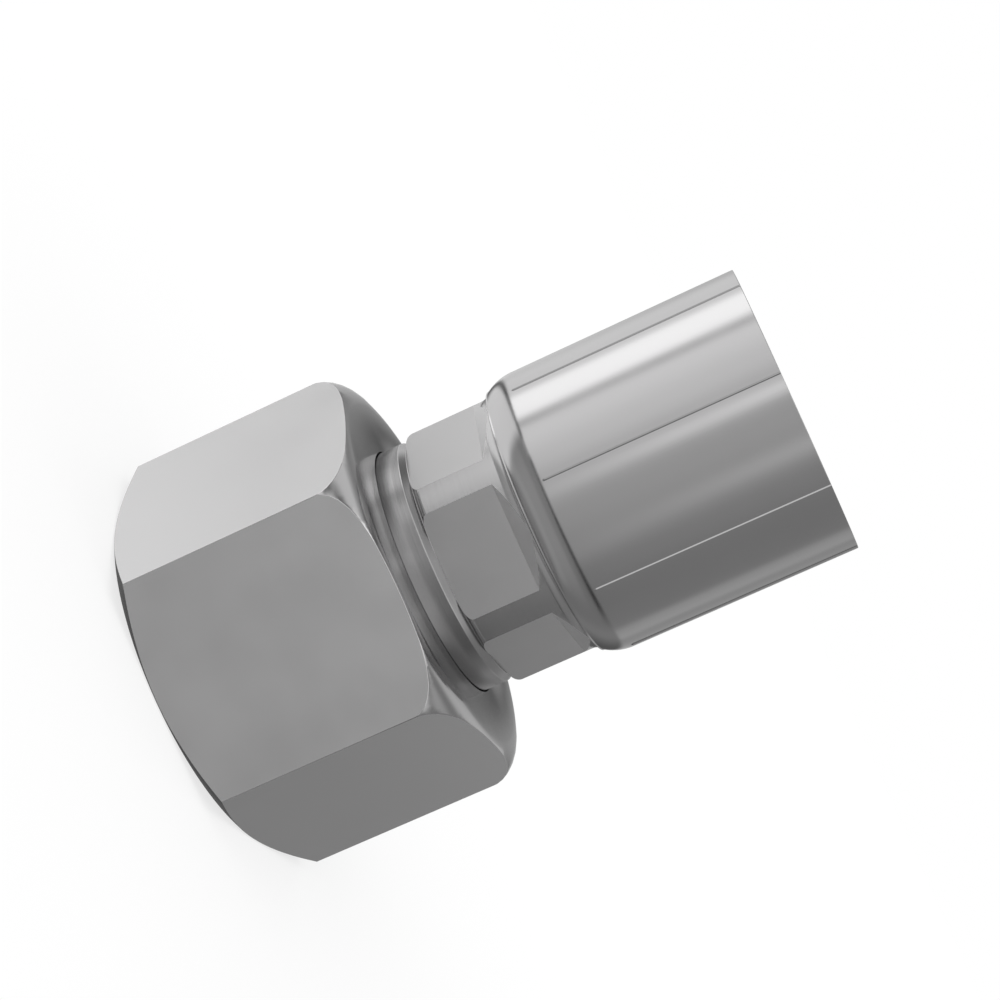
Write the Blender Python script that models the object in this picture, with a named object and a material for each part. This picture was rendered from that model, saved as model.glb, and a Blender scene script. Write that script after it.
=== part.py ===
# Straight crimp hose end with a female swivel nut, for a 3/4 inch hydraulic hose.
# It stands on the open end of its nut. Z runs from the nut to the hose side.

from math import atan, cos, pi, radians, sin, sqrt, tan

import bmesh
import bpy
from mathutils import Matrix, Vector

MM = 0.001

# Fits
SEAT_GAP = 0.3 * MM             # left between pieces that touch
HEAD_CLEARANCE = 0.8 * MM       # nipple head inside the bore of the nut
COLLAR_CLEARANCE = 0.55 * MM    # collar inside the rear hole of the nut

# Swivel nut
NUT_ACROSS_FLATS = 50.0 * MM
NUT_LENGTH = 33.1 * MM
NUT_BLANK_EXTRA = 0.05 * MM     # turned blank over the corners of the hexagon
NUT_FACE_RADIUS = 24.7 * MM     # where the front chamfer starts on the end face
NUT_CHAMFER_ANGLE = radians(30)
NUT_BACK_RADIUS = 5.0 * MM      # rounding from the corners to the back face
NUT_REAR_HOLE_LENGTH = 5.0 * MM
THREAD_DIAMETER = 42.0 * MM
THREAD_PITCH = 2.0 * MM
THREAD_DEPTH_SHARE = 0.54127    # depth of the nut's thread over its pitch
THREAD_LENGTH = 16.5 * MM
THREAD_RELIEF_DEPTH = 0.3 * MM  # below the thread's outer diameter
THREAD_RELIEF_LENGTH = 3.0 * MM
MOUTH_CHAMFER_EXTRA = 0.6 * MM  # mouth radius over the thread's outer radius
SEAT_ANGLE = radians(45)        # nut seat and back of the nipple head

# Nipple: cone, head and collar
CONE_HALF_ANGLE = radians(12)
CONE_TIP_RADIUS = 13.6 * MM
CONE_LENGTH = 14.8 * MM
NOSE_INSET = 4.0 * MM           # cone tip behind the nut's end face
TIP_CHAMFER = 0.5 * MM
HEAD_FACE_LENGTH = 3.6 * MM
HEAD_CHAMFER = 0.5 * MM
COLLAR_DIAMETER = 33.8 * MM
COLLAR_CHAMFER_ANGLE = radians(30)
COLLAR_CHAMFER_LENGTH = 0.93 * MM
COLLAR_SHOWN = 3.15 * MM        # plain collar behind the nut
BORE_DIAMETER = 15.5 * MM
BORE_LEAD = 1.5 * MM

# Sealing ring and its groove
RING_SECTION = 2.4 * MM
RING_INNER_DIAMETER = 25.3 * MM
RING_FROM_TIP = 5.4 * MM

# Nipple: hexagon
HEX_ACROSS_FLATS = 32.0 * MM
BAR_DIAMETER = 35.0 * MM
HEX_CORNER_ROUND = 0.95 * MM
HEX_FLAT_LENGTH = 9.8 * MM
RUN_OUT_ANGLE = radians(40)
FLARE_START = 10.9 * MM         # from the front of the hexagon
FLARE_RADIUS = 1.9 * MM
FLARE_ANGLE = radians(38.7)

# Nipple: locking groove and hose tail
NECK_RADIUS = 12.2 * MM
NECK_LENGTH = 0.9 * MM
LOCK_GROOVE_RADIUS = 10.6 * MM
LOCK_GROOVE_LENGTH = 3.2 * MM
REAR_LAND_LENGTH = 1.2 * MM
TAIL_CREST_RADIUS = 9.65 * MM
TAIL_ROOT_RADIUS = 9.0 * MM
BARB_COUNT = 5
BARB_PITCH = 4.4 * MM
BARB_CREST_LENGTH = 0.5 * MM
BARB_START = 3.0 * MM           # behind the cone of the rear land
BARB_LEAD_LENGTH = 1.0 * MM     # step down in front of the first barb
BARB_ROOT_LENGTH = 0.4 * MM
TAIL_INSET = 1.2 * MM           # tail tip inside the end of the shell
TAIL_TIP_RADIUS = 8.5 * MM
TAIL_TIP_LENGTH = 1.6 * MM
TAIL_BORE_CHAMFER = 0.4 * MM

# Crimp shell
SHELL_DIAMETER = 38.7 * MM
SHELL_LENGTH = 34.66 * MM
SHELL_SHOULDER_RADIUS = 6.6 * MM
SHELL_SHOULDER_LENGTH = 3.6 * MM
SHELL_EDGE_ROUND = 0.4 * MM
SHELL_WALL = 2.95 * MM
SHELL_FRONT_WALL = 4.6 * MM
SHELL_CONE_FOOT = 1.1 * MM      # flat ring inside the front wall
SHELL_MOUTH_CHAMFER = 0.8 * MM
TOOTH_HEIGHT = 0.9 * MM
TOOTH_COUNT = 5
TOOTH_PITCH = 4.4 * MM
TOOTH_CREST_LENGTH = 0.8 * MM
TOOTH_SLOPE_LENGTH = 1.6 * MM
TOOTH_START = 2.6 * MM          # behind the inner front cone
RIDGE_COUNT = 8
RIDGE_TURN = radians(30.6)      # first ridge, from -Y towards +X
RIDGE_HEIGHT = 0.15 * MM
RIDGE_BASE = 0.5 * MM
RIDGE_TOP = 0.22 * MM
RIDGE_RAMP = 0.4 * MM
RIDGE_SUNK = 0.45 * MM          # foot of a ridge inside the wall

# Length of the milling ring past the flare
MILL_OVERSHOOT = 1.0 * MM

# Facets
LATHE_STEPS = 48
RING_STEPS = 40
RING_SECTION_STEPS = 10

# Sizes that follow from the ones above
HEX_SIDES = 6
BORE_RADIUS = BORE_DIAMETER / 2
COLLAR_RADIUS = COLLAR_DIAMETER / 2
BAR_RADIUS = BAR_DIAMETER / 2
HEX_APOTHEM = HEX_ACROSS_FLATS / 2
SHELL_RADIUS = SHELL_DIAMETER / 2
CORNER_FACTOR = 1 / cos(pi / HEX_SIDES)
THREAD_MINOR_RADIUS = THREAD_DIAMETER / 2 - THREAD_DEPTH_SHARE * THREAD_PITCH
REAR_HOLE_RADIUS = COLLAR_RADIUS + COLLAR_CLEARANCE
HEAD_RADIUS = THREAD_MINOR_RADIUS - HEAD_CLEARANCE
CONE_BASE_RADIUS = CONE_TIP_RADIUS + CONE_LENGTH * tan(CONE_HALF_ANGLE)

NUT_SEAT_END = NUT_LENGTH - NUT_REAR_HOLE_LENGTH
NUT_SEAT_START = NUT_SEAT_END - (THREAD_MINOR_RADIUS - REAR_HOLE_RADIUS) / tan(SEAT_ANGLE)

# The head's back cone runs beside the nut's seat, one seat gap in front of it.
COLLAR_START = (NUT_SEAT_END + COLLAR_CLEARANCE / tan(SEAT_ANGLE)
                - SEAT_GAP / sin(SEAT_ANGLE))
HEAD_BACK = COLLAR_START - (HEAD_RADIUS - COLLAR_RADIUS) / tan(SEAT_ANGLE)
HEAD_FRONT = HEAD_BACK - HEAD_FACE_LENGTH - HEAD_CHAMFER
COLLAR_END = NUT_LENGTH + COLLAR_SHOWN
HEX_FRONT = COLLAR_END + COLLAR_CHAMFER_LENGTH
HEX_FLAT_END = HEX_FRONT + HEX_FLAT_LENGTH
FLARE_FROM = HEX_FRONT + FLARE_START
SHOULDER_FACE = FLARE_FROM + FLARE_RADIUS * sin(FLARE_ANGLE)
FLARE_TOP_RADIUS = BAR_RADIUS + FLARE_RADIUS * (1 - cos(FLARE_ANGLE))
LOCK_GROOVE_START = SHOULDER_FACE + NECK_LENGTH
LOCK_GROOVE_END = LOCK_GROOVE_START + LOCK_GROOVE_LENGTH
REAR_LAND_END = LOCK_GROOVE_END + REAR_LAND_LENGTH
TAIL_START = REAR_LAND_END + NECK_RADIUS - TAIL_CREST_RADIUS
SHELL_FRONT = SHOULDER_FACE + SEAT_GAP
SHELL_END = SHELL_FRONT + SHELL_LENGTH
TAIL_END = SHELL_END - TAIL_INSET
SHELL_BORE_RADIUS = SHELL_RADIUS - SHELL_WALL
LIP_HOLE_RADIUS = LOCK_GROOVE_RADIUS + SEAT_GAP
SHELL_NECK_HOLE = NECK_RADIUS + SEAT_GAP

RING_CENTRE_RADIUS = (RING_INNER_DIAMETER + RING_SECTION) / 2
RING_HEIGHT = NOSE_INSET + RING_FROM_TIP
RING_GROOVE_RADIUS = RING_INNER_DIAMETER / 2 - SEAT_GAP
RING_GROOVE_HALF = RING_SECTION / 2 + SEAT_GAP

STEEL = ("zinc_plated_steel", (0.56, 0.55, 0.54, 1.0), 1.0, 0.28)
SHELL_STEEL = ("crimped_steel", (0.60, 0.59, 0.58, 1.0), 1.0, 0.24)
RUBBER = ("black_rubber", (0.02, 0.02, 0.022, 1.0), 0.0, 0.6)


def clear_scene():
    for item in list(bpy.data.objects):
        bpy.data.objects.remove(item, do_unlink=True)


def make_material(recipe):
    name, colour, metallic, roughness = recipe
    material = bpy.data.materials.get(name) or bpy.data.materials.new(name)
    material.use_nodes = True
    shader = material.node_tree.nodes["Principled BSDF"]
    shader.inputs["Base Color"].default_value = colour
    shader.inputs["Metallic"].default_value = metallic
    shader.inputs["Roughness"].default_value = roughness
    material.diffuse_color = colour
    return material


def arc(centre_r, centre_z, radius, start, end, steps):
    """Points (r, z) round a centre; angle 0 points outwards, 90 degrees up the axis."""
    turns = [start + (end - start) * step / steps for step in range(steps + 1)]
    return [(centre_r + radius * cos(turn), centre_z + radius * sin(turn)) for turn in turns]


def lathe(points, steps):
    """Closed ring of faces from a closed outline (r, z) turned about Z."""
    mesh = bmesh.new()
    corners = [mesh.verts.new((r, 0.0, z)) for r, z in points]
    edges = [mesh.edges.new((corners[i], corners[(i + 1) % len(corners)]))
             for i in range(len(corners))]
    bmesh.ops.spin(mesh, geom=corners + edges, cent=(0, 0, 0), axis=(0, 0, 1),
                   angle=2 * pi, steps=steps, use_merge=True)
    bmesh.ops.recalc_face_normals(mesh, faces=mesh.faces)
    return mesh


def add_object(name, mesh, recipe=None):
    data = bpy.data.meshes.new(name)
    mesh.to_mesh(data)
    mesh.free()
    item = bpy.data.objects.new(name, data)
    bpy.context.scene.collection.objects.link(item)
    if recipe:
        data.materials.append(make_material(recipe))
        data.shade_smooth()
        data.set_sharp_from_angle(angle=radians(28))
    return item


def add_tool(name, mesh, work, operation):
    """Hidden tool body that cuts, trims or adds to the work."""
    tool = add_object(name, mesh)
    tool.hide_render = True
    tool.display_type = "WIRE"
    tool.parent = work
    step = work.modifiers.new(name, "BOOLEAN")
    step.operation = operation
    step.solver = "EXACT"
    step.object = tool
    return tool


def nut_outline():
    corner = NUT_ACROSS_FLATS / 2 * CORNER_FACTOR
    blank = corner + NUT_BLANK_EXTRA
    chamfer_rise = (blank - NUT_FACE_RADIUS) * tan(NUT_CHAMFER_ANGLE)
    mouth = THREAD_DIAMETER / 2 + MOUTH_CHAMFER_EXTRA
    relief = THREAD_DIAMETER / 2 + THREAD_RELIEF_DEPTH
    relief_start = THREAD_LENGTH
    relief_end = relief_start + THREAD_RELIEF_LENGTH
    relief_step = relief - THREAD_MINOR_RADIUS
    outside = [(NUT_FACE_RADIUS, 0.0), (blank, chamfer_rise)]
    back = arc(blank - NUT_BACK_RADIUS, NUT_LENGTH - NUT_BACK_RADIUS, NUT_BACK_RADIUS,
               0.0, pi / 2, 7)
    inside = [
        (REAR_HOLE_RADIUS, NUT_LENGTH),
        (REAR_HOLE_RADIUS, NUT_SEAT_END),
        (THREAD_MINOR_RADIUS, NUT_SEAT_START),
        (THREAD_MINOR_RADIUS, relief_end),
        (relief, relief_end - relief_step),
        (relief, relief_start + relief_step),
        (THREAD_MINOR_RADIUS, relief_start),
        (THREAD_MINOR_RADIUS, mouth - THREAD_MINOR_RADIUS),
        (mouth, 0.0),
    ]
    return outside + back + inside


def make_nut():
    nut = add_object("swivel_nut", lathe(nut_outline(), LATHE_STEPS), STEEL)
    hexagon = bmesh.new()
    corner = NUT_ACROSS_FLATS / 2 * CORNER_FACTOR
    bmesh.ops.create_cone(hexagon, cap_ends=True, segments=HEX_SIDES, radius1=corner,
                          radius2=corner, depth=2 * NUT_LENGTH,
                          matrix=Matrix.Translation((0, 0, NUT_LENGTH / 2))
                          @ Matrix.Rotation(pi / HEX_SIDES, 4, "Z"))
    add_tool("nut_hexagon", hexagon, nut, "INTERSECT")
    return nut


def cone_radius(from_tip):
    return CONE_TIP_RADIUS + from_tip * tan(CONE_HALF_ANGLE)


def nose_outline():
    groove_start = RING_FROM_TIP - RING_GROOVE_HALF
    groove_end = RING_FROM_TIP + RING_GROOVE_HALF
    return [
        (BORE_RADIUS + BORE_LEAD, NOSE_INSET),
        (CONE_TIP_RADIUS - TIP_CHAMFER, NOSE_INSET),
        (cone_radius(TIP_CHAMFER), NOSE_INSET + TIP_CHAMFER),
        (cone_radius(groove_start), NOSE_INSET + groove_start),
        (RING_GROOVE_RADIUS, NOSE_INSET + groove_start),
        (RING_GROOVE_RADIUS, NOSE_INSET + groove_end),
        (cone_radius(groove_end), NOSE_INSET + groove_end),
        (CONE_BASE_RADIUS, NOSE_INSET + CONE_LENGTH),
        (CONE_BASE_RADIUS, HEAD_FRONT),
    ]


def head_and_hexagon_outline():
    chamfer_drop = COLLAR_CHAMFER_LENGTH * tan(COLLAR_CHAMFER_ANGLE)
    head = [
        (HEAD_RADIUS - HEAD_CHAMFER, HEAD_FRONT),
        (HEAD_RADIUS, HEAD_FRONT + HEAD_CHAMFER),
        (HEAD_RADIUS, HEAD_BACK),
        (COLLAR_RADIUS, COLLAR_START),
        (COLLAR_RADIUS, COLLAR_END),
        (COLLAR_RADIUS - chamfer_drop, HEX_FRONT),
    ]
    corner = arc(BAR_RADIUS - HEX_CORNER_ROUND, HEX_FRONT + HEX_CORNER_ROUND,
                 HEX_CORNER_ROUND, -pi / 2, 0.0, 4)
    flare = arc(BAR_RADIUS + FLARE_RADIUS, FLARE_FROM, FLARE_RADIUS,
                pi, pi - FLARE_ANGLE, 3)
    return head + corner + flare


def tail_outline():
    points = [
        (NECK_RADIUS, SHOULDER_FACE),
        (NECK_RADIUS, LOCK_GROOVE_START),
        (LOCK_GROOVE_RADIUS, LOCK_GROOVE_START),
        (LOCK_GROOVE_RADIUS, LOCK_GROOVE_END),
        (NECK_RADIUS, LOCK_GROOVE_END),
        (NECK_RADIUS, REAR_LAND_END),
        (TAIL_CREST_RADIUS, TAIL_START),
    ]
    first = TAIL_START + BARB_START
    points += [(TAIL_CREST_RADIUS, first - BARB_LEAD_LENGTH),
               (TAIL_ROOT_RADIUS, first - BARB_LEAD_LENGTH / 2)]
    for barb in range(BARB_COUNT):
        base = first + barb * BARB_PITCH
        points += [
            (TAIL_ROOT_RADIUS, base),
            (TAIL_CREST_RADIUS, base),
            (TAIL_CREST_RADIUS, base + BARB_CREST_LENGTH),
            (TAIL_ROOT_RADIUS, base + BARB_PITCH - BARB_ROOT_LENGTH),
        ]
    points += [
        (TAIL_ROOT_RADIUS, TAIL_END - TAIL_TIP_LENGTH),
        (TAIL_TIP_RADIUS, TAIL_END),
        (BORE_RADIUS + TAIL_BORE_CHAMFER, TAIL_END),
        (BORE_RADIUS, TAIL_END - TAIL_BORE_CHAMFER),
        (BORE_RADIUS, NOSE_INSET + BORE_LEAD),
    ]
    return points


def make_nipple():
    outline = nose_outline() + head_and_hexagon_outline() + tail_outline()
    nipple = add_object("nipple", lathe(outline, LATHE_STEPS), STEEL)

    # Six-sided ring whose hole leaves the flats and their slanted run-outs.
    rise = FLARE_TOP_RADIUS + MILL_OVERSHOOT - HEX_APOTHEM
    run_out_end = HEX_FLAT_END + rise / tan(RUN_OUT_ANGLE)
    cutter_outline = [
        (HEX_APOTHEM * CORNER_FACTOR, HEX_FRONT),
        (HEX_APOTHEM * CORNER_FACTOR, HEX_FLAT_END),
        ((HEX_APOTHEM + rise) * CORNER_FACTOR, run_out_end),
        (BAR_DIAMETER, run_out_end),
        (BAR_DIAMETER, HEX_FRONT),
    ]
    add_tool("hexagon_mill", lathe(cutter_outline, HEX_SIDES), nipple, "DIFFERENCE")
    return nipple


def shell_outline():
    shoulder_centre = SHELL_FRONT + SHELL_SHOULDER_LENGTH
    lean = atan(SHELL_SHOULDER_LENGTH
                / sqrt(SHELL_SHOULDER_RADIUS ** 2 - SHELL_SHOULDER_LENGTH ** 2))
    shoulder = arc(SHELL_RADIUS - SHELL_SHOULDER_RADIUS, shoulder_centre,
                   SHELL_SHOULDER_RADIUS, -lean, 0.0, 6)
    edge = arc(SHELL_RADIUS - SHELL_EDGE_ROUND, SHELL_END - SHELL_EDGE_ROUND,
               SHELL_EDGE_ROUND, 0.0, pi / 2, 2)
    cone_end = SHELL_FRONT + SHELL_FRONT_WALL
    cone_foot = SHELL_NECK_HOLE + SHELL_CONE_FOOT
    cone_start = cone_end + SHELL_BORE_RADIUS - cone_foot
    mouth = [
        (SHELL_BORE_RADIUS + SHELL_MOUTH_CHAMFER, SHELL_END),
        (SHELL_BORE_RADIUS, SHELL_END - SHELL_MOUTH_CHAMFER),
    ]
    teeth = []
    first = cone_start + TOOTH_START
    for tooth in reversed(range(TOOTH_COUNT)):
        base = first + tooth * TOOTH_PITCH
        teeth += [
            (SHELL_BORE_RADIUS, base + TOOTH_CREST_LENGTH + TOOTH_SLOPE_LENGTH),
            (SHELL_BORE_RADIUS - TOOTH_HEIGHT, base + TOOTH_CREST_LENGTH),
            (SHELL_BORE_RADIUS - TOOTH_HEIGHT, base),
            (SHELL_BORE_RADIUS, base),
        ]
    lip = [
        (SHELL_BORE_RADIUS, cone_start),
        (cone_foot, cone_end),
        (SHELL_NECK_HOLE, cone_end),
        (SHELL_NECK_HOLE, LOCK_GROOVE_END - SEAT_GAP),
        (LIP_HOLE_RADIUS, LOCK_GROOVE_END - SEAT_GAP),
        (LIP_HOLE_RADIUS, LOCK_GROOVE_START + SEAT_GAP),
        (SHELL_NECK_HOLE, LOCK_GROOVE_START + SEAT_GAP),
        (SHELL_NECK_HOLE, SHELL_FRONT),
    ]
    return shoulder + edge + mouth + teeth + lip


def crimp_ridges():
    """Low bars along the shell, with a slanted front end, one between two dies."""
    foot = SHELL_RADIUS - RIDGE_SUNK
    top = SHELL_RADIUS + RIDGE_HEIGHT
    start = SHELL_FRONT + SHELL_SHOULDER_LENGTH
    end = SHELL_END - SHELL_EDGE_ROUND
    size = Vector((RIDGE_BASE, top - foot, end - start))
    middle = Vector((0.0, -(foot + top) / 2, (start + end) / 2))
    bars = bmesh.new()
    bmesh.ops.create_cube(bars, size=1.0,
                          matrix=Matrix.Translation(middle) @ Matrix.Diagonal(size.to_4d()))
    for corner in bars.verts:
        if corner.co.y < middle.y:
            corner.co.x *= RIDGE_TOP / RIDGE_BASE
            if corner.co.z < middle.z:
                corner.co.z += RIDGE_RAMP
    bmesh.ops.rotate(bars, verts=bars.verts, cent=(0, 0, 0),
                     matrix=Matrix.Rotation(RIDGE_TURN, 3, "Z"))
    bmesh.ops.spin(bars, geom=bars.faces, cent=(0, 0, 0), axis=(0, 0, 1),
                   angle=2 * pi * (RIDGE_COUNT - 1) / RIDGE_COUNT,
                   steps=RIDGE_COUNT - 1, use_duplicate=True)
    return bars


def make_shell():
    shell = add_object("crimp_shell", lathe(shell_outline(), LATHE_STEPS), SHELL_STEEL)
    add_tool("crimp_ridges", crimp_ridges(), shell, "UNION")
    return shell


def make_ring():
    section = arc(RING_CENTRE_RADIUS, RING_HEIGHT, RING_SECTION / 2, 0.0, 2 * pi,
                  RING_SECTION_STEPS)[:-1]
    return add_object("o_ring", lathe(section, RING_STEPS), RUBBER)


def main():
    clear_scene()
    make_nut()
    make_nipple()
    make_shell()
    make_ring()


main()
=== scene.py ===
# Looks of a straight crimp hose end with a swivel nut: finer shapes, finishes, studio and camera.
# The part stands on the open end of its nut. Lengths in the dictionaries are in mm, and turns are
# degrees from the front (-Y) towards +X.
from math import asin, atan2, cos, degrees, hypot, pi, radians, sin, tan

import bmesh
import bpy
from mathutils import Matrix, Vector


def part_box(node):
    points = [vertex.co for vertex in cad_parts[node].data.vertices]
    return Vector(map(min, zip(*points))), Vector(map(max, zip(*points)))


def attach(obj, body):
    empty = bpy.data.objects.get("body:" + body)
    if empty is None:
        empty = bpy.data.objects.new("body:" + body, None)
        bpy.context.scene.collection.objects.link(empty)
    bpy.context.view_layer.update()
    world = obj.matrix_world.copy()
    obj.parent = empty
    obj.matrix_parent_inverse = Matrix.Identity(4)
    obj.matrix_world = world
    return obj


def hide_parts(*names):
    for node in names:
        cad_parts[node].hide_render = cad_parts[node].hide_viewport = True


mm = 0.001
tiny = 0.01                     # leeway of a length in mm, or of a part of a unit normal
roundAxis = {"cent": (0, 0, 0), "axis": (0, 0, 1)}

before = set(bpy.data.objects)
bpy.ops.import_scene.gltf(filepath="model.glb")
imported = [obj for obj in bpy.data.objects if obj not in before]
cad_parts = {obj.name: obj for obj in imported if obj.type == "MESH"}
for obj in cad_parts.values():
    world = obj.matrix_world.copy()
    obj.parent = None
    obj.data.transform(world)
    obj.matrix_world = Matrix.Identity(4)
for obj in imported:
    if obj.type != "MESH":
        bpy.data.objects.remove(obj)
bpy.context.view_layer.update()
nutLow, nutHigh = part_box("swivel_nut")
nippleLow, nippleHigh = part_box("nipple")
shellLow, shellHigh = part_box("crimp_shell")
ringLow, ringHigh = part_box("o_ring")
print("frame loaded")


def putNode(tree, kind, inputs=None, **settings):
    node = tree.nodes.new(kind)
    for name, value in settings.items():
        setattr(node, name, value)
    for socket, value in (inputs or {}).items():
        if isinstance(value, bpy.types.NodeSocket):
            tree.links.new(value, node.inputs[socket])
        else:
            node.inputs[socket].default_value = value
    return node


def calc(tree, operation, *values):
    return putNode(tree, "ShaderNodeMath", dict(enumerate(values)), operation=operation).outputs[0]


def noise(tree, point, scale, detail, roughness):
    return putNode(tree, "ShaderNodeTexNoise", {"Vector": point, "Scale": scale, "Detail": detail,
                                                "Roughness": roughness}).outputs[0]


def newGroup(name, inputs, outputs):
    tree = bpy.data.node_groups.new(name, "ShaderNodeTree")
    for label, value in inputs.items():
        socket = tree.interface.new_socket(label, in_out="INPUT", socket_type="NodeSocketFloat")
        socket.default_value = value
    for label in outputs:
        tree.interface.new_socket(label, in_out="OUTPUT", socket_type="NodeSocketFloat")
    return tree, putNode(tree, "NodeGroupInput"), putNode(tree, "NodeGroupOutput")


def ringMarksGroup():
    # Lathe marks: fine rings round the axis that drift a little from side to side.
    tree, start, end = newGroup("ringMarks", {"Lines per mm": 4.0, "Drift": 40.0}, ["Height"])
    place = putNode(tree, "ShaderNodeTexCoord").outputs["Object"]
    x, y, z = putNode(tree, "ShaderNodeSeparateXYZ", {0: place}).outputs
    flat = putNode(tree, "ShaderNodeCombineXYZ", {0: x, 1: y}).outputs[0]
    radius = putNode(tree, "ShaderNodeVectorMath", {0: flat}, operation="LENGTH").outputs["Value"]
    density = calc(tree, "MULTIPLY", start.outputs["Lines per mm"], 1 / mm)
    driftX = calc(tree, "MULTIPLY", x, start.outputs["Drift"])
    driftY = calc(tree, "MULTIPLY", y, start.outputs["Drift"])
    across = calc(tree, "ADD", calc(tree, "MULTIPLY", radius, density), driftX)
    along = calc(tree, "ADD", calc(tree, "MULTIPLY", z, density), driftX)
    point = putNode(tree, "ShaderNodeCombineXYZ", {0: across, 1: driftY, 2: along}).outputs[0]
    height = noise(tree, point, scale=1.0, detail=2.0, roughness=0.6)
    tree.links.new(height, end.inputs["Height"])
    return tree


def drawnMarksGroup():
    # Marks of drawn bar stock: hair lines along the axis, broken up over their length.
    tree, start, end = newGroup("drawnMarks", {"Lines per mm": 5.0, "Length": 0.06}, ["Height"])
    place = putNode(tree, "ShaderNodeTexCoord").outputs["Object"]
    density = calc(tree, "MULTIPLY", start.outputs["Lines per mm"], 1 / mm)
    along = calc(tree, "MULTIPLY", density, start.outputs["Length"])
    stretch = putNode(tree, "ShaderNodeCombineXYZ", {0: density, 1: density, 2: along}).outputs[0]
    point = putNode(tree, "ShaderNodeVectorMath", {0: place, 1: stretch},
                    operation="MULTIPLY").outputs[0]
    height = noise(tree, point, scale=1.0, detail=2.0, roughness=0.55)
    tree.links.new(height, end.inputs["Height"])
    return tree


def skinGroup():
    # What plating and moulded rubber share: soft clouds and a fine grain.
    tree, start, end = newGroup("skin", {"Clouds per mm": 0.12, "Grains per mm": 9.0},
                                ["Clouds", "Grain"])
    place = putNode(tree, "ShaderNodeTexCoord").outputs["Object"]
    for count, output, detail in (("Clouds per mm", "Clouds", 3.0),
                                  ("Grains per mm", "Grain", 1.0)):
        scale = calc(tree, "MULTIPLY", start.outputs[count], 1 / mm)
        tree.links.new(noise(tree, place, scale, detail, roughness=0.5), end.inputs[output])
    return tree


def steelTones(*greys):
    # Plated steel is a touch short of green.
    return [(grey, grey - 0.003, grey - 0.001) for grey in greys]


skin = skinGroup()
ringMarks = ringMarksGroup()
drawnMarks = drawnMarksGroup()
bumpDepth = 0.02                # mm, what a bump of strength 1 stands for
recipes = {
    # Tones and roughness run from the dark clouds to the light ones, over their cloud levels.
    "nutFlats": {
        "name": "nutFlats", "metallic": 1.0, "marks": drawnMarks, "lines": 2.6,
        "tones": steelTones(0.517, 0.547), "roughness": (0.36, 0.43), "clouds": (0.3, 0.7),
        "grain": 0.3, "bump": 0.32,
    },
    # The run-outs' tone is lighter than the flats' to show light they would catch from below:
    # painted light, over a rough milled finish.
    "runOutsPaintedLight": {
        "name": "milledRunOutsPaintedLight", "metallic": 1.0, "marks": drawnMarks, "lines": 3.0,
        "tones": steelTones(0.62, 0.66), "roughness": (0.55, 0.62), "clouds": (0.3, 0.7),
        "grain": 0.3, "bump": 0.1,
    },
    "flats": {
        "name": "drawnFlats", "metallic": 1.0, "marks": drawnMarks, "lines": 3.0,
        "tones": steelTones(0.405, 0.435), "roughness": (0.33, 0.40), "clouds": (0.3, 0.7),
        "grain": 0.3, "bump": 0.32,
    },
    "turned": {
        "name": "turnedSteel", "metallic": 1.0, "marks": ringMarks, "lines": 2.6,
        "tones": steelTones(0.375, 0.405), "roughness": (0.14, 0.19), "clouds": (0.3, 0.7),
        "grain": 0.2, "bump": 0.16,
    },
    "turnedBar": {
        "name": "turnedBar", "metallic": 1.0, "marks": ringMarks, "lines": 2.6,
        "tones": steelTones(0.415, 0.445), "roughness": (0.20, 0.27), "clouds": (0.3, 0.7),
        "grain": 0.2, "bump": 0.16,
    },
    # The collar's tone is darker than the other turned steel to stand in for the shade beside the
    # nut's back: painted shade.
    "turnedCollarPaintedShade": {
        "name": "turnedCollarPaintedShade", "metallic": 1.0, "marks": ringMarks, "lines": 3.2,
        "tones": steelTones(0.325, 0.355), "roughness": (0.20, 0.27), "clouds": (0.3, 0.7),
        "grain": 0.2, "bump": 0.16,
    },
    "shell": {
        "name": "pressedShell", "metallic": 1.0, "marks": drawnMarks, "lines": 2.4,
        "tones": steelTones(0.375, 0.405), "roughness": (0.13, 0.18), "clouds": (0.3, 0.7),
        "grain": 0.2, "bump": 0.07,
    },
    "rubber": {
        "name": "sealRubber", "metallic": 0.0, "marks": None,
        "tones": [(0.012, 0.012, 0.013), (0.03, 0.03, 0.032)],
        "roughness": (0.42, 0.6), "clouds": (0.0, 1.0), "bump": 0.15,
    },
}


def makeFinish(recipe):
    material = bpy.data.materials.new(recipe["name"])
    material.use_nodes = True
    tree = material.node_tree
    shader = tree.nodes["Principled BSDF"]
    shader.inputs["Metallic"].default_value = recipe["metallic"]
    surface = putNode(tree, "ShaderNodeGroup", node_tree=skin)
    clouds = surface.outputs["Clouds"]
    dark, light = recipe["tones"]
    colour = putNode(tree, "ShaderNodeMix", {"Factor": clouds, 6: (*dark, 1.0), 7: (*light, 1.0)},
                     data_type="RGBA")
    smooth, rough = recipe["roughness"]
    cloudStart, cloudEnd = recipe["clouds"]
    gloss = putNode(tree, "ShaderNodeMapRange",
                    {"Value": clouds, "From Min": cloudStart, "From Max": cloudEnd,
                     "To Min": smooth, "To Max": rough})
    height = surface.outputs["Grain"]
    if recipe["marks"]:
        marks = putNode(tree, "ShaderNodeGroup", node_tree=recipe["marks"])
        marks.inputs["Lines per mm"].default_value = recipe["lines"]
        height = calc(tree, "ADD", marks.outputs["Height"],
                      calc(tree, "MULTIPLY", height, recipe["grain"]))
    bump = putNode(tree, "ShaderNodeBump", {"Height": height, "Strength": recipe["bump"],
                                            "Distance": bumpDepth * mm})
    tree.links.new(colour.outputs[2], shader.inputs["Base Color"])
    tree.links.new(gloss.outputs[0], shader.inputs["Roughness"])
    tree.links.new(bump.outputs[0], shader.inputs["Normal"])
    return material


finishes = {look: makeFinish(recipe) for look, recipe in recipes.items()}
print("finishes made")


def arcPoints(centreR, centreZ, radius, start, end, steps):
    turns = [radians(start + (end - start) * step / steps) for step in range(steps + 1)]
    return [(centreR + radius * cos(turn), centreZ + radius * sin(turn)) for turn in turns]


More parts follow.
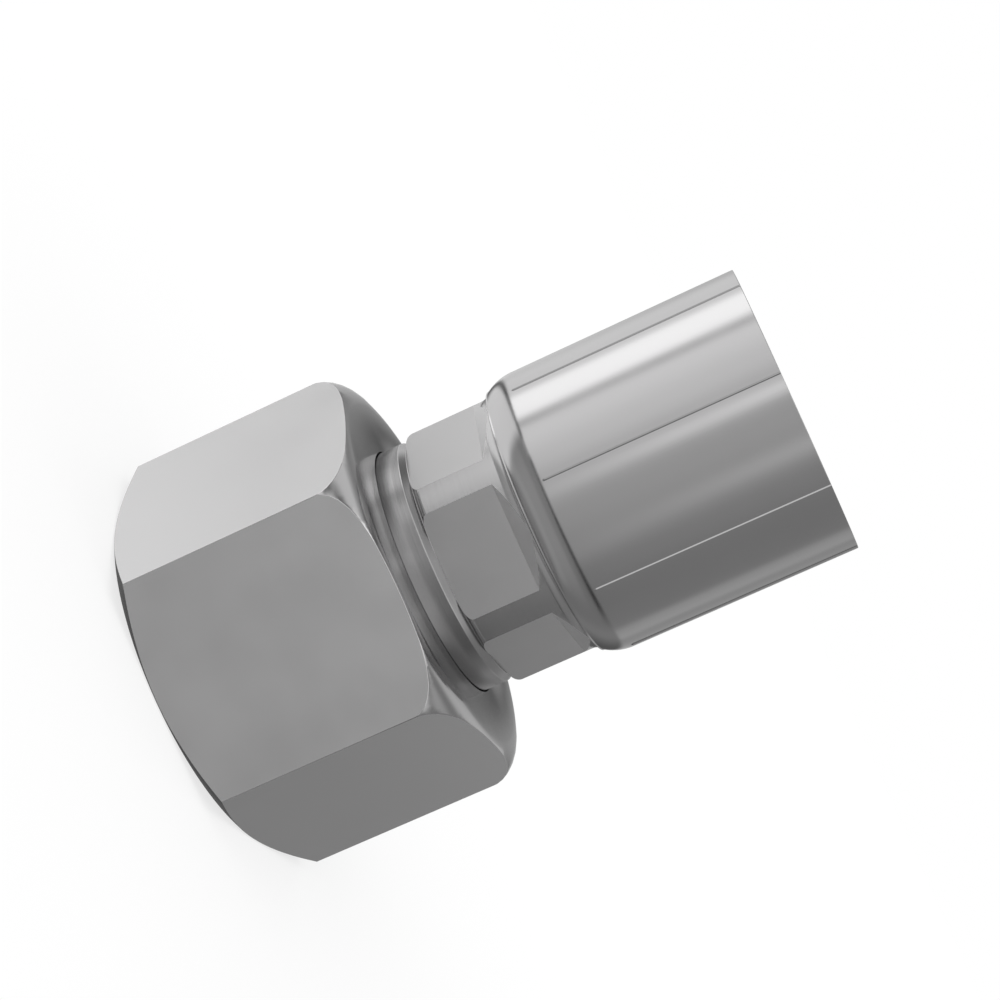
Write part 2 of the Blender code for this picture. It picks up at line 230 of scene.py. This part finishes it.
def startOutline(points, turn=0.0):
    # Closed outline of (radius, height) in mm, stood at one angle round the axis.
    mesh = bmesh.new()
    corners = [mesh.verts.new((r * mm, 0.0, z * mm)) for r, z in points]
    edges = [mesh.edges.new((corner, corners[(i + 1) % len(corners)]))
             for i, corner in enumerate(corners)]
    bmesh.ops.rotate(mesh, verts=corners, cent=(0, 0, 0), matrix=Matrix.Rotation(turn, 3, "Z"))
    return mesh, corners + edges


def turned(points, steps):
    mesh, outline = startOutline(points)
    bmesh.ops.spin(mesh, geom=outline, angle=2 * pi, steps=steps, use_merge=True, **roundAxis)
    bmesh.ops.recalc_face_normals(mesh, faces=mesh.faces)
    return mesh


def roundEdges(mesh, size, sharper, test=None):
    # Rounds the edges where two faces meet at more than that angle.
    edges = [edge for edge in mesh.edges
             if len(edge.link_faces) == 2 and edge.calc_face_angle() > radians(sharper)
             and (test is None or test(edge))]
    bmesh.ops.bevel(mesh, geom=edges, affect="EDGES", offset_type="OFFSET", offset=size * mm,
                    segments=2, profile=0.5, material=-1, clamp_overlap=True)


def addObject(name, mesh):
    data = bpy.data.meshes.new(name)
    mesh.to_mesh(data)
    mesh.free()
    item = bpy.data.objects.new(name, data)
    bpy.context.scene.collection.objects.link(item)
    return item


def cutAway(item, mesh):
    # The tool body is used up at once, so the finished piece keeps no live cut.
    tool = addObject(item.name + "Tool", mesh)
    step = item.modifiers.new("cut", "BOOLEAN")
    step.operation = "DIFFERENCE"
    step.solver = "EXACT"
    step.object = tool
    graph = bpy.context.evaluated_depsgraph_get()
    result = bpy.data.meshes.new_from_object(item.evaluated_get(graph))
    item.modifiers.clear()
    item.data = result
    bpy.data.objects.remove(tool)


def isFlat(face, apothem):
    # A wrench flat: upright, and the apothem away from the axis.
    return (abs(face.normal.z) < tiny
            and abs(face.calc_center_median().dot(face.normal) - apothem * mm) < tiny * mm)


def finishPiece(item, node, body, looks, pick=None, sharp=24, crisp=True):
    # pick gives the place of a face's finish in looks. A crisp piece keeps its large faces evenly
    # shaded, and one that isn't crisp shades them softly into their roundings.
    item.data.materials.clear()
    for look in looks:
        item.data.materials.append(finishes[look])
    mesh = bmesh.new()
    mesh.from_mesh(item.data)
    for face in mesh.faces:
        face.smooth = True
        face.material_index = pick(face) if pick else 0
    for edge in mesh.edges:
        kinds = {face.material_index for face in edge.link_faces}
        edge.smooth = len(kinds) == 1 and edge.calc_face_angle(0.0) < radians(sharp)
    mesh.to_mesh(item.data)
    mesh.free()
    if crisp:
        weights = item.modifiers.new("faceWeights", "WEIGHTED_NORMAL")
        weights.keep_sharp = True
    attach(item, body)
    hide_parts(node)
    print(item.name, "done")


nut = {
    "steps": 240,
    "cornerSpare": 0.05,        # past the corners, so that the flats cut clean
    "faceRadius": 24.7,         # where the front chamfer starts
    "chamferAngle": 30,
    "backRadius": 5.0,
    "backSteps": 8,
    "rearHoleRadius": 17.1,
    "rearHoleLength": 5.0,
    "threadRadius": 21.0,
    "pitch": 2.0,
    "threadDepth": 0.54127,     # of the pitch
    "threadLength": 16.5,
    "reliefDepth": 0.3,
    "reliefLength": 3.0,
    "mouthRadius": 21.6,
    "edgeRound": 0.12,
    "roundAbove": 25,           # degrees between two faces
    "cutLeeway": 0.0001,
    "mergeDistance": 0.004,
}
threadCutter = {
    "steps": 72,                # per turn
    "foot": 1.75,
    "tip": 0.3,
    "clear": 0.25,              # inside the bore of the thread
    "turnsBelow": 1.5,          # below the mouth of the nut
    "overrun": 0.6,             # into the relief
}


def threadBore():
    return nut["threadRadius"] - nut["threadDepth"] * nut["pitch"]


def nutOutline(apothem, length):
    corner = apothem / cos(pi / 6) + nut["cornerSpare"]
    rise = (corner - nut["faceRadius"]) * tan(radians(nut["chamferAngle"]))
    bore = threadBore()
    relief = nut["threadRadius"] + nut["reliefDepth"]
    reliefStart = nut["threadLength"]
    reliefEnd = reliefStart + nut["reliefLength"]
    reliefStep = relief - bore
    hole = nut["rearHoleRadius"]
    seatEnd = length - nut["rearHoleLength"]
    back = arcPoints(corner - nut["backRadius"], length - nut["backRadius"],
                     nut["backRadius"], 0, 90, nut["backSteps"])
    inside = [
        (hole, length), (hole, seatEnd), (bore, seatEnd - (bore - hole)),
        (bore, reliefEnd), (relief, reliefEnd - reliefStep),
        (relief, reliefStart + reliefStep), (bore, reliefStart),
        (bore, nut["mouthRadius"] - bore), (nut["mouthRadius"], 0.0),
    ]
    return [(nut["faceRadius"], 0.0), (corner, rise)] + back + inside


def threadTool():
    # One screwed tooth from below the mouth to the relief groove.
    c = threadCutter
    inner = threadBore() - c["clear"]
    outer = nut["threadRadius"]
    start = -c["turnsBelow"] * nut["pitch"]
    mesh, tooth = startOutline([(inner, start - c["foot"] / 2), (outer, start - c["tip"] / 2),
                                (outer, start + c["tip"] / 2), (inner, start + c["foot"] / 2)])
    first = bmesh.ops.contextual_create(mesh, geom=tooth)["faces"]
    turns = int((nut["threadLength"] + c["overrun"]) / nut["pitch"] + c["turnsBelow"])
    bmesh.ops.spin(mesh, geom=tooth + first, dvec=(0, 0, nut["pitch"] / c["steps"] * mm),
                   angle=2 * pi * turns, steps=turns * c["steps"], use_merge=False, **roundAxis)
    bmesh.ops.recalc_face_normals(mesh, faces=mesh.faces)
    return mesh


def makeNut():
    apothem = -nutLow.y / mm
    mesh = turned(nutOutline(apothem, nutHigh.z / mm), nut["steps"])
    for side in range(6):
        away = Matrix.Rotation(side * pi / 3, 3, "Z") @ Vector((0, -1, 0))
        cut = bmesh.ops.bisect_plane(mesh, geom=mesh.verts[:] + mesh.edges[:] + mesh.faces[:],
                                     dist=nut["cutLeeway"] * mm, plane_co=away * apothem * mm,
                                     plane_no=away, clear_outer=True)
        rim = [part for part in cut["geom_cut"] if isinstance(part, bmesh.types.BMEdge)]
        bmesh.ops.contextual_create(mesh, geom=rim)
    bmesh.ops.remove_doubles(mesh, verts=mesh.verts, dist=nut["mergeDistance"] * mm)
    bmesh.ops.recalc_face_normals(mesh, faces=mesh.faces)
    roundEdges(mesh, nut["edgeRound"], nut["roundAbove"])
    item = addObject("swivelNut", mesh)
    cutAway(item, threadTool())
    finishPiece(item, "swivel_nut", "nut", ["turned", "nutFlats"],
                lambda face: 1 if isFlat(face, apothem) else 0, crisp=False)


nipple = {
    "steps": 192,
    "arcSteps": 8,
    "bore": 7.75,
    "boreLead": 1.5,
    "coneTip": 13.6,
    "coneLength": 14.8,
    "coneAngle": 12,
    "tipChamfer": 0.5,
    "grooveRadius": 12.35,
    "grooveGap": 0.25,          # beside the sealing ring
    "headRadius": 19.117,
    "headLength": 4.1,
    "headChamfer": 0.5,
    "headBack": 26.01,
    "collarRadius": 16.9,
    "collarEnd": 36.25,
    "collarChamfer": 0.93,
    "collarAngle": 30,
    "hexagonFront": 37.18,
    "hexagonApothem": 16.0,
    "barRadius": 17.5,
    "cornerRound": 0.95,
    "flatLength": 9.8,
    "runOutAngle": 40,
    "runOutRise": 4.0,
    "millReach": 1.6,           # of the bar's radius
    "flareStart": 10.9,
    "flareRadius": 1.9,
    "flareAngle": 38.7,
    "neckRadius": 12.2,
    "neckLength": 0.9,
    "grooveFloor": 10.6,        # locking groove
    "grooveLength": 3.2,
    "landLength": 1.2,
    "tailCrest": 9.65,
    "tailRoot": 9.0,
    "barbs": 5,
    "barbPitch": 4.4,
    "barbCrest": 0.5,
    "barbFace": 0.4,
    "barbStart": 3.0,
    "barbLead": 1.0,
    "tailTip": 8.5,
    "tailTipLength": 1.6,
    "tailChamfer": 0.4,
    "edgeRound": 0.1,
    "roundAbove": 28,           # degrees between two faces
}


def nippleOutline():
    n = nipple
    tip = nippleLow.z / mm
    tailEnd = nippleHigh.z / mm
    slope = tan(radians(n["coneAngle"]))
    ringZ = (ringLow.z + ringHigh.z) / 2 / mm
    halfGroove = (ringHigh.z - ringLow.z) / 2 / mm + n["grooveGap"]
    headFront = n["headBack"] - n["headLength"]
    shoulder = (n["hexagonFront"] + n["flareStart"]
                + n["flareRadius"] * sin(radians(n["flareAngle"])))

    def cone(z):
        return n["coneTip"] + (z - tip) * slope

    coneBase = tip + n["coneLength"]
    nose = [
        (n["bore"] + n["boreLead"], tip), (n["coneTip"] - n["tipChamfer"], tip),
        (cone(tip + n["tipChamfer"]), tip + n["tipChamfer"]),
        (cone(ringZ - halfGroove), ringZ - halfGroove), (n["grooveRadius"], ringZ - halfGroove),
        (n["grooveRadius"], ringZ + halfGroove), (cone(ringZ + halfGroove), ringZ + halfGroove),
        (cone(coneBase), coneBase), (cone(coneBase), headFront),
    ]
    backRise = n["headRadius"] - n["collarRadius"]
    collarTip = n["collarRadius"] - n["collarChamfer"] * tan(radians(n["collarAngle"]))
    head = [
        (n["headRadius"] - n["headChamfer"], headFront),
        (n["headRadius"], headFront + n["headChamfer"]),
        (n["headRadius"], n["headBack"]), (n["collarRadius"], n["headBack"] + backRise),
        (n["collarRadius"], n["collarEnd"]), (collarTip, n["hexagonFront"]),
    ]
    corner = arcPoints(n["barRadius"] - n["cornerRound"], n["hexagonFront"] + n["cornerRound"],
                       n["cornerRound"], -90, 0, n["arcSteps"])
    flare = arcPoints(n["barRadius"] + n["flareRadius"], n["hexagonFront"] + n["flareStart"],
                      n["flareRadius"], 180, 180 - n["flareAngle"], n["arcSteps"])
    grooveStart = shoulder + n["neckLength"]
    grooveEnd = grooveStart + n["grooveLength"]
    landEnd = grooveEnd + n["landLength"]
    tailStart = landEnd + n["neckRadius"] - n["tailCrest"]
    first = tailStart + n["barbStart"]
    tail = [
        (n["neckRadius"], shoulder), (n["neckRadius"], grooveStart),
        (n["grooveFloor"], grooveStart), (n["grooveFloor"], grooveEnd),
        (n["neckRadius"], grooveEnd), (n["neckRadius"], landEnd), (n["tailCrest"], tailStart),
        (n["tailCrest"], first - n["barbLead"]), (n["tailRoot"], first - n["barbLead"] / 2),
    ]
    for barb in range(n["barbs"]):
        base = first + barb * n["barbPitch"]
        tail += [(n["tailRoot"], base), (n["tailCrest"], base),
                 (n["tailCrest"], base + n["barbCrest"]),
                 (n["tailRoot"], base + n["barbPitch"] - n["barbFace"])]
    tail += [
        (n["tailRoot"], tailEnd - n["tailTipLength"]), (n["tailTip"], tailEnd),
        (n["bore"] + n["tailChamfer"], tailEnd), (n["bore"], tailEnd - n["tailChamfer"]),
        (n["bore"], tip + n["boreLead"]),
    ]
    return nose + head + corner + flare + tail


def hexagonTool():
    # Six-sided ring that leaves the flats and their slanted run-outs.
    n = nipple
    toCorner = 1 / cos(pi / 6)
    flatEnd = n["hexagonFront"] + n["flatLength"]
    runOutEnd = flatEnd + n["runOutRise"] / tan(radians(n["runOutAngle"]))
    reach = n["millReach"] * n["barRadius"]
    return turned([
        (n["hexagonApothem"] * toCorner, n["hexagonFront"]),
        (n["hexagonApothem"] * toCorner, flatEnd),
        ((n["hexagonApothem"] + n["runOutRise"]) * toCorner, runOutEnd),
        (reach, runOutEnd), (reach, n["hexagonFront"]),
    ], 6)


def isRunOut(face):
    # A slanted face at the end of a flat. It looks down, straight out from one of the six sides.
    slant = sin(radians(nipple["runOutAngle"]))
    sideTurn = 360 / 6
    turnLeeway = 0.5
    turn = degrees(atan2(face.normal.x, -face.normal.y)) % sideTurn
    return (abs(face.normal.z + slant) < tiny and min(turn, sideTurn - turn) < turnLeeway
            and face.calc_center_median().z > (nipple["hexagonFront"] + nipple["flatLength"]) * mm)


def nippleLook(face):
    if isFlat(face, nipple["hexagonApothem"]):
        return 1
    # A run-out takes the lighter tone that paints in light from below.
    if isRunOut(face):
        return 2
    # Below the hexagon the faces take the darker tone that paints the shade beside the nut.
    return 3 if face.calc_center_median().z < nipple["hexagonFront"] * mm else 0


def makeNipple():
    mesh = turned(nippleOutline(), nipple["steps"])
    roundEdges(mesh, nipple["edgeRound"], nipple["roundAbove"])
    item = addObject("nippleBody", mesh)
    cutAway(item, hexagonTool())
    finishPiece(item, "nipple", "hose_end",
                ["turnedBar", "flats", "runOutsPaintedLight", "turnedCollarPaintedShade"], nippleLook, sharp=12)


shell = {
    "frontGap": 0.2,            # closer to the nipple than the solid
    "radius": 19.35,
    "shoulderRadius": 6.6,
    "shoulderLength": 3.6,
    "shoulderSteps": 24,
    "edgeRound": 0.08,
    "edgeSteps": 5,
    "wall": 2.95,
    "frontWall": 4.6,
    "mouthChamfer": 0.8,
    "lipRadius": 10.9,
    "neckHole": 12.5,
    "neckStep": 1.1,            # from the neck hole to the foot of the cone inside
    "lipStart": 0.9,
    "lipEnd": 3.5,
    "teeth": 5,
    "toothHeight": 0.9,
    "toothPitch": 4.4,
    "toothCrest": 0.8,
    "toothSlope": 1.6,
    "toothStart": 2.6,
    "ridges": 8,
    "ridgeTurn": 30.2,
    "ridgeHeight": 0.15,
    "ridgeTop": 0.1,            # flat width, with a steep flank on each side
    "ridgeFlank": 0.1,
    "ridgeStart": 3.65,
    "ridgeRamp": 0.25,
    "landSteps": 26,
    "insideRound": 0.12,
    "insideSpare": 0.2,         # past the bore, edges that still count as inside
    "roundAbove": 28,           # degrees between two faces
    "mergeDistance": 0.001,
}


def shellOutline():
    s = shell
    front = shellLow.z / mm
    end = shellHigh.z / mm
    lean = degrees(asin(s["shoulderLength"] / s["shoulderRadius"]))
    shoulder = arcPoints(s["radius"] - s["shoulderRadius"], front + s["shoulderLength"],
                         s["shoulderRadius"], -lean, 0, s["shoulderSteps"])
    ridgeEnds = [(s["radius"], front + s["ridgeStart"]),
                 (s["radius"], front + s["ridgeStart"] + s["ridgeRamp"])]
    edge = arcPoints(s["radius"] - s["edgeRound"], end - s["edgeRound"], s["edgeRound"],
                     0, 90, s["edgeSteps"])
    bore = s["radius"] - s["wall"]
    mouth = [(bore + s["mouthChamfer"], end), (bore, end - s["mouthChamfer"])]
    coneFoot = s["neckHole"] + s["neckStep"]
    coneStart = front + s["frontWall"] + bore - coneFoot
    first = coneStart + s["toothStart"]
    teeth = []
    for tooth in reversed(range(s["teeth"])):
        base = first + tooth * s["toothPitch"]
        teeth += [(bore, base + s["toothCrest"] + s["toothSlope"]),
                  (bore - s["toothHeight"], base + s["toothCrest"]),
                  (bore - s["toothHeight"], base), (bore, base)]
    lip = [
        (bore, coneStart), (coneFoot, front + s["frontWall"]),
        (s["neckHole"], front + s["frontWall"]), (s["neckHole"], front + s["lipEnd"]),
        (s["lipRadius"], front + s["lipEnd"]), (s["lipRadius"], front + s["lipStart"]),
        (s["neckHole"], front + s["lipStart"]), (s["neckHole"], front - s["frontGap"]),
        (shoulder[0][0], front - s["frontGap"]),
    ]
    return shoulder + ridgeEnds + edge + mouth + teeth + lip


def makeShell():
    # The section is turned ridge by ridge, then the tops of the ridges are lifted.
    s = shell
    flank = s["ridgeFlank"] / s["radius"]
    top = s["ridgeTop"] / s["radius"]
    halfRidge = top / 2 + flank
    pitch = 2 * pi / s["ridges"]
    firstRidge = radians(s["ridgeTurn"]) - pi / 2
    mesh, section = startOutline(shellOutline(), firstRidge - halfRidge)
    for ridge in range(s["ridges"]):
        for angle, steps in ((flank, 1), (top, 1), (flank, 1),
                             (pitch - 2 * halfRidge, s["landSteps"])):
            section = bmesh.ops.spin(mesh, geom=section, angle=angle, steps=steps,
                                     use_merge=False, **roundAxis)["geom_last"]
    bmesh.ops.remove_doubles(mesh, verts=mesh.verts, dist=s["mergeDistance"] * mm)
    bmesh.ops.recalc_face_normals(mesh, faces=mesh.faces)
    insideRadius = (s["radius"] - s["wall"] + s["insideSpare"]) * mm
    roundEdges(mesh, s["insideRound"], s["roundAbove"],
               lambda edge: hypot(*edge.verts[0].co.xy) < insideRadius)
    rampStart = shellLow.z + s["ridgeStart"] * mm
    for vert in mesh.verts:
        radius = hypot(*vert.co.xy)
        turn = (atan2(vert.co.y, vert.co.x) - firstRidge + pitch / 2) % pitch - pitch / 2
        onRidge = abs(turn) < top / 2 + flank / 2
        if onRidge and radius > (s["radius"] - tiny) * mm and vert.co.z > rampStart + tiny * mm:
            vert.co.xy *= (radius + s["ridgeHeight"] * mm) / radius
    item = addObject("crimpShell", mesh)
    finishPiece(item, "crimp_shell", "hose_end", ["shell"])


ring = {
    "steps": 128,
    "sectionSteps": 24,
}


def makeRing():
    section = (ringHigh.z - ringLow.z) / 2 / mm
    points = arcPoints(ringHigh.x / mm - section, (ringLow.z + ringHigh.z) / 2 / mm, section,
                       0, 360, ring["sectionSteps"])[:-1]
    item = addObject("sealRing", turned(points, ring["steps"]))
    finishPiece(item, "o_ring", "hose_end", ["rubber"])


makeNut()
makeNipple()
makeShell()
makeRing()

studio = {
    "floorSize": 6.0,           # metres
    "floorTone": (0.92, 0.92, 0.92),
    "floorDrop": 0.05,          # below the part
    "floorLift": 0.7,           # share of plain white that the camera sees
    "lampTilt": (35, -25),      # degrees from overhead, about X and Y
    "lampSpread": 60,
    "lampLevel": 0.5,
}
tent = {
    # A ball round the studio that shows only in the metal: levels by side, from -X to +X.
    "reach": 2.8,               # metres
    "walls": {-1.0: 1.50, -0.75: 1.25, -0.45: 0.95, 0.0: 0.72, 0.5: 0.62, 0.75: 0.46, 1.0: 0.38},
    "ceiling": {-1.0: 0.25, 0.0: 0.45, 1.0: 0.38},
    "ground": {-1.0: 0.42, 0.0: 0.38, 1.0: 0.34},
    "ceilingFrom": (9, 17),     # degrees above level
    "groundFrom": (-10.5, -7.5),
    "rampTop": 3.0,             # level at the white end of a ramp
}
cards = {
    # Lights and shades on the ball: turn, half width and soft edge in degrees, the level added,
    # and the degrees above level between which it comes in, and between which it goes out.
    "backBox": (-99, 13, 5, 0.75, (-10, -8), (10, 16)),
    "blackGap": (-81, 4, 4, -0.55, (-10, -8), (10, 16)),
    "frontStrip": (-20, 5, 5, 0.65, (-8, 2), (14, 20)),
    "lowStrip": (26, 5, 7, 0.30, (-6, 3), (14, 20)),
    "rimStrip": (122, 9, 4, 0.19, (-10, -8), (8, 12)),
    "rimShade": (152, 12, 7, -0.12, (-10, -8), (8, 12)),
    "frontGlow": (0, 60, 20, 1.1, (8, 24), (36, 46)),
    "leftBox": (-112, 34, 20, 0.85, (26, 38), (75, 90)),
    "rightBox": (158, 14, 12, 0.40, (12, 20), (55, 70)),
    "sideBox": (95, 15, 12, 0.25, (35, 45), (70, 80)),
    "topBox": (0, 200, 1, 1.5, (66, 78), (91, 92)),
    "backShade": (180, 28, 8, -0.25, (-9, 3), (12, 20)),
    "backCore": (179, 5.25, 3.75, -0.28, (-9, 3), (12, 20)),
    "groundBox": (-116, 41, 8, 0.90, (-92, -91), (-15, -11)),
    "groundRing": (-5, 75, 15, 0.18, (-60, -52), (-48, -38)),
    "groundFront": (0, 70, 25, 0.12, (-45, -38), (-28, -22)),
    "nutFill": (0, 42, 20, 0.045, (-70, -50), (-13, -11)),
    "groundDim": (50, 46, 18, -0.18, (-17, -13), (-9, -7)),
    "frontTop": (25, 60, 25, 0.18, (36, 44), (58, 66)),
    "collarShade": (-30, 110, 15, -0.32, (-14, -12), (-10, -9)),
    "rimLow": (120, 10, 8, 0.04, (-60, -45), (-13, -8)),
    "groundSide": (-60, 9, 3, 0.5, (-14, -12), (-9, -7)),
    "groundShade": (180, 40, 20, -0.25, (-92, -91), (-11, -8)),
}


def makeWorld():
    world = bpy.data.worlds.new("studioWorld")
    bpy.context.scene.world = world
    world.use_nodes = True
    ground = world.node_tree.nodes["Background"]
    ground.inputs["Color"].default_value = (1.0, 1.0, 1.0, 1.0)
    ground.inputs["Strength"].default_value = 1.0


def bareMaterial(name):
    material = bpy.data.materials.new(name)
    material.use_nodes = True
    tree = material.node_tree
    tree.nodes.remove(tree.nodes["Principled BSDF"])
    return material, tree, tree.nodes["Material Output"].inputs["Surface"]


def isSeen(tree):
    # 1 for what the camera, mirrors and glass see.
    path = putNode(tree, "ShaderNodeLightPath").outputs
    mirror = calc(tree, "MAXIMUM", path["Is Camera Ray"], path["Is Glossy Ray"])
    return calc(tree, "MAXIMUM", mirror, path["Is Transmission Ray"])


def makeFloor():
    mesh = bmesh.new()
    bmesh.ops.create_circle(mesh, cap_ends=True, segments=96, radius=studio["floorSize"] / 2)
    floor = addObject("studioFloor", mesh)
    material, tree, surface = bareMaterial("paleFloor")
    matte = putNode(tree, "ShaderNodeBsdfDiffuse", {"Color": (*studio["floorTone"], 1.0)})
    white = putNode(tree, "ShaderNodeEmission", {"Strength": 1.0})
    share = calc(tree, "MULTIPLY", isSeen(tree), studio["floorLift"])
    blend = putNode(tree, "ShaderNodeMixShader",
                    {0: share, 1: matte.outputs[0], 2: white.outputs[0]})
    tree.links.new(blend.outputs[0], surface)
    floor.data.materials.append(material)
    floor.location.z = -studio["floorDrop"] * mm
    floor.visible_glossy = False


def fade(tree, value, low, high, start=0.0, end=1.0):
    # Soft change from one level to another.
    return putNode(tree, "ShaderNodeMapRange", {"Value": value, "From Min": low, "From Max": high,
                                                "To Min": start, "To Max": end},
                   interpolation_type="SMOOTHSTEP").outputs[0]


def sideRamp(tree, side, levels):
    share = putNode(tree, "ShaderNodeMapRange", {"Value": side, "From Min": -1.0, "From Max": 1.0})
    ramp = putNode(tree, "ShaderNodeValToRGB", {0: share.outputs[0]})
    ramp.color_ramp.interpolation = "EASE"
    stops = ramp.color_ramp.elements
    while len(stops) < len(levels):
        stops.new(0.5)
    for stop, (place, level) in zip(stops, sorted(levels.items())):
        stop.position = (place + 1) / 2
        stop.color = (*[level / tent["rampTop"]] * 3, 1.0)
    return calc(tree, "MULTIPLY", ramp.outputs[0], tent["rampTop"])


def cardLight(tree, turn, rise, card):
    middle, half, soft, level, comesIn, goesOut = card
    away = calc(tree, "ABSOLUTE",
                calc(tree, "WRAP", calc(tree, "SUBTRACT", turn, middle), 180.0, -180.0))
    light = fade(tree, away, half - soft, half + soft, level, 0.0)
    light = calc(tree, "MULTIPLY", light, fade(tree, rise, *comesIn))
    return calc(tree, "MULTIPLY", light, fade(tree, rise, *goesOut, 1.0, 0.0))


def tentMaterial():
    material, tree, surface = bareMaterial("tentLight")
    place = putNode(tree, "ShaderNodeTexCoord").outputs["Object"]
    x, y, z = putNode(tree, "ShaderNodeSeparateXYZ", {0: place}).outputs
    across = calc(tree, "SQRT", calc(tree, "ADD", calc(tree, "MULTIPLY", x, x),
                                     calc(tree, "MULTIPLY", y, y)))
    side = calc(tree, "DIVIDE", x, calc(tree, "MAXIMUM", across, mm))    # never by zero
    turn = calc(tree, "DEGREES", calc(tree, "ARCTAN2", x, calc(tree, "MULTIPLY", y, -1.0)))
    rise = calc(tree, "DEGREES", calc(tree, "ARCTAN2", z, across))
    level = sideRamp(tree, side, tent["walls"])
    for zone, share in (("ground", fade(tree, rise, *tent["groundFrom"], 1.0, 0.0)),
                        ("ceiling", fade(tree, rise, *tent["ceilingFrom"]))):
        level = putNode(tree, "ShaderNodeMix", {"Factor": share, 2: level,
                                                3: sideRamp(tree, side, tent[zone])}).outputs[0]
    for card in cards.values():
        level = calc(tree, "ADD", level, cardLight(tree, turn, rise, card))
    glow = putNode(tree, "ShaderNodeEmission", {"Strength": calc(tree, "MAXIMUM", level, 0.0)})
    tree.links.new(glow.outputs[0], surface)
    material.cycles.emission_sampling = "NONE"
    return material


def makeTent():
    mesh = bmesh.new()
    bmesh.ops.create_uvsphere(mesh, u_segments=96, v_segments=64, radius=tent["reach"])
    ball = addObject("tentBall", mesh)
    ball.data.materials.append(tentMaterial())
    ball.visible_camera = False
    ball.visible_diffuse = False
    ball.visible_shadow = False


def makeLamp():
    light = bpy.data.lights.new("softLamp", "SUN")
    light.energy = studio["lampLevel"]
    light.angle = radians(studio["lampSpread"])
    lamp = bpy.data.objects.new("softLamp", light)
    lamp.rotation_euler = [radians(turn) for turn in studio["lampTilt"]] + [0.0]
    lamp.visible_glossy = False
    bpy.context.scene.collection.objects.link(lamp)


makeWorld()
makeFloor()
makeTent()
makeLamp()
print("studio ready")

view = {
    "place": (-4.91, -254.45, 81.30),
    "down": 8.15,               # degrees below level
    "roll": 65.62,
    "lens": 71.22,
    "sensor": 36.0,
    "nearest": 10,              # what is closer isn't drawn
}


def makeCamera():
    data = bpy.data.cameras.new("photoCamera")
    data.lens = view["lens"]
    data.sensor_width = view["sensor"]
    data.clip_start = view["nearest"] * mm
    camera = bpy.data.objects.new("photoCamera", data)
    camera.matrix_world = (Matrix.Translation(Vector(view["place"]) * mm)
                           @ Matrix.Rotation(radians(90 - view["down"]), 4, "X")
                           @ Matrix.Rotation(radians(view["roll"]), 4, "Z"))
    bpy.context.scene.collection.objects.link(camera)
    bpy.context.scene.camera = camera
    bpy.context.scene.view_settings.view_transform = "Standard"


makeCamera()
